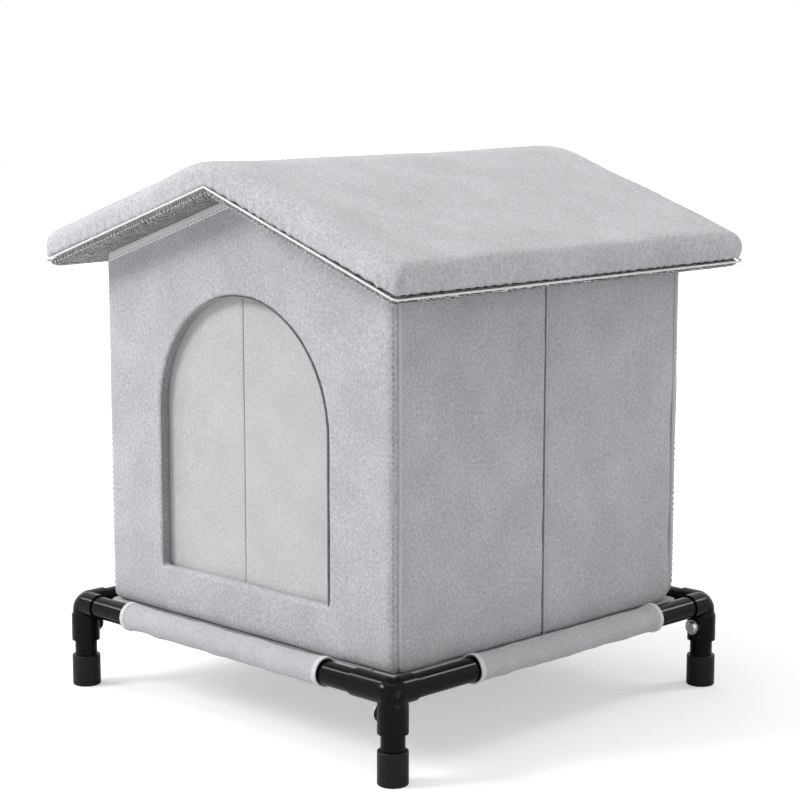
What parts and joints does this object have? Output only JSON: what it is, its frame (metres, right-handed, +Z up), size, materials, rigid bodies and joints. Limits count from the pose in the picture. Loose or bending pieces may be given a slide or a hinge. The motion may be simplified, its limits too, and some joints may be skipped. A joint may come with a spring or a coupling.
{
  "type": "cat house",
  "caption": "Foldable padded-cloth cat house with a pitched lift-off roof, arched curtain doorway and folding walls, on a raised black tube frame with a sleeved cloth deck.",
  "frame": {"origin": "centre of the four feet on the floor", "axes": "+Z up, the arched doorway faces -Y, the roof ridge runs along Y, +X is the pictured side wall"},
  "size_m": [0.4952, 0.4852, 0.5317],
  "materials": {
    "tube": "gloss black",
    "connector": "gloss black moulding",
    "foot": "satin black",
    "screw": "bright zinc",
    "deck_cloth": "felt",
    "sleeve_cloth": "felt",
    "hem_cloth": "turned edge",
    "hook_tape": "hook tape",
    "wall_cloth": "felt",
    "seam_cord": "sewn cord",
    "wall_piping": "sewn piping",
    "gable_tape": "loop tape",
    "curtain_cloth": "felt",
    "roof_cloth": "felt, padded",
    "lining_cloth": "gathered dark lining",
    "roof_piping": "white piping"
  },
  "bodies": {
    "frame": {"rail_front": "tube", "rail_back": "tube", "rail_left": "tube", "rail_right": "tube", "connector_front_left": "connector", "connector_front_right": "connector", "connector_back_right": "connector", "connector_back_left": "connector", "leg_front_left": "tube", "leg_front_right": "tube", "leg_back_right": "tube", "leg_back_left": "tube", "foot_front_left": "foot", "foot_front_right": "foot", "foot_back_right": "foot", "foot_back_left": "foot", "leg_screws": "screw", "sleeve_front": "sleeve_cloth", "sleeve_right": "sleeve_cloth", "sleeve_back": "sleeve_cloth", "sleeve_left": "sleeve_cloth", "sleeve_hems": "hem_cloth", "screw_washers": "screw", "deck": "deck_cloth", "floor_hook_strips": "hook_tape", "front_wall": "wall_cloth", "front_hinge_cords": "seam_cord", "front_corner_piping": "wall_piping", "front_gable_tape": "gable_tape", "curtain_header": "curtain_cloth"},
    "right_front_wall": {"right_front_panel": "wall_cloth", "right_fold_cord": "seam_cord"},
    "right_rear_wall": {"right_rear_panel": "wall_cloth"},
    "left_front_wall": {"left_front_panel": "wall_cloth", "left_fold_cord": "seam_cord"},
    "left_rear_wall": {"left_rear_panel": "wall_cloth"},
    "back_wall": {"back_wall": "wall_cloth", "back_hinge_cords": "seam_cord", "back_corner_piping": "wall_piping", "back_gable_tape": "gable_tape"},
    "curtain_left": {"curtain_left": "curtain_cloth"},
    "curtain_right": {"curtain_right": "curtain_cloth"},
    "roof_right": {"roof_right": "roof_cloth", "roof_lining_right": "lining_cloth", "roof_piping_right": "roof_piping"},
    "roof_left": {"roof_left": "roof_cloth", "roof_lining_left": "lining_cloth", "roof_piping_left": "roof_piping"}
  },
  "joints": [
    {"name": "wall_fold", "type": "hinge", "parent": "frame", "child": "right_front_wall", "pos_m": [0.19065, -0.19065, 0.09], "axis": [0, 0, -1], "range_deg": [-84, 0]},
    {"name": "right_mid_fold", "type": "hinge", "parent": "right_front_wall", "child": "right_rear_wall", "pos_m": [0.20035, 0, 0.09], "axis": [0, 0, -1], "range_deg": [0, 168]},
    {"name": "right_back_fold", "type": "hinge", "parent": "right_rear_wall", "child": "back_wall", "pos_m": [0.19065, 0.19065, 0.09], "axis": [0, 0, -1], "range_deg": [-84, 0]},
    {"name": "left_fold", "type": "hinge", "parent": "frame", "child": "left_front_wall", "pos_m": [-0.19065, -0.19065, 0.09], "axis": [0, 0, -1], "range_deg": [0, 84]},
    {"name": "left_mid_fold", "type": "hinge", "parent": "left_front_wall", "child": "left_rear_wall", "pos_m": [-0.20035, 0, 0.09], "axis": [0, 0, -1], "range_deg": [-168, 0]},
    {"name": "curtain_left_swing", "type": "hinge", "parent": "frame", "child": "curtain_left", "pos_m": [-0.068, -0.1896, 0.423], "axis": [1, 0, 0], "range_deg": [0, 75]},
    {"name": "curtain_right_swing", "type": "hinge", "parent": "frame", "child": "curtain_right", "pos_m": [0.062, -0.1896, 0.423], "axis": [1, 0, 0], "range_deg": [0, 75]},
    {"name": "roof_lift", "type": "slide", "parent": "frame", "child": "roof_right", "axis": [0, 0, 1], "range_m": [0, 0.15]},
    {"name": "roof_fold", "type": "hinge", "parent": "roof_right", "child": "roof_left", "pos_m": [0, 0, 0.53165], "axis": [0, 1, 0], "range_deg": [0, 37.7]}
  ],
  "couplings": [
    {"joint": "right_mid_fold", "follows": "wall_fold", "ratio": -2},
    {"joint": "right_back_fold", "follows": "wall_fold", "ratio": 1},
    {"joint": "left_fold", "follows": "wall_fold", "ratio": -1},
    {"joint": "left_mid_fold", "follows": "wall_fold", "ratio": 2}
  ]
}
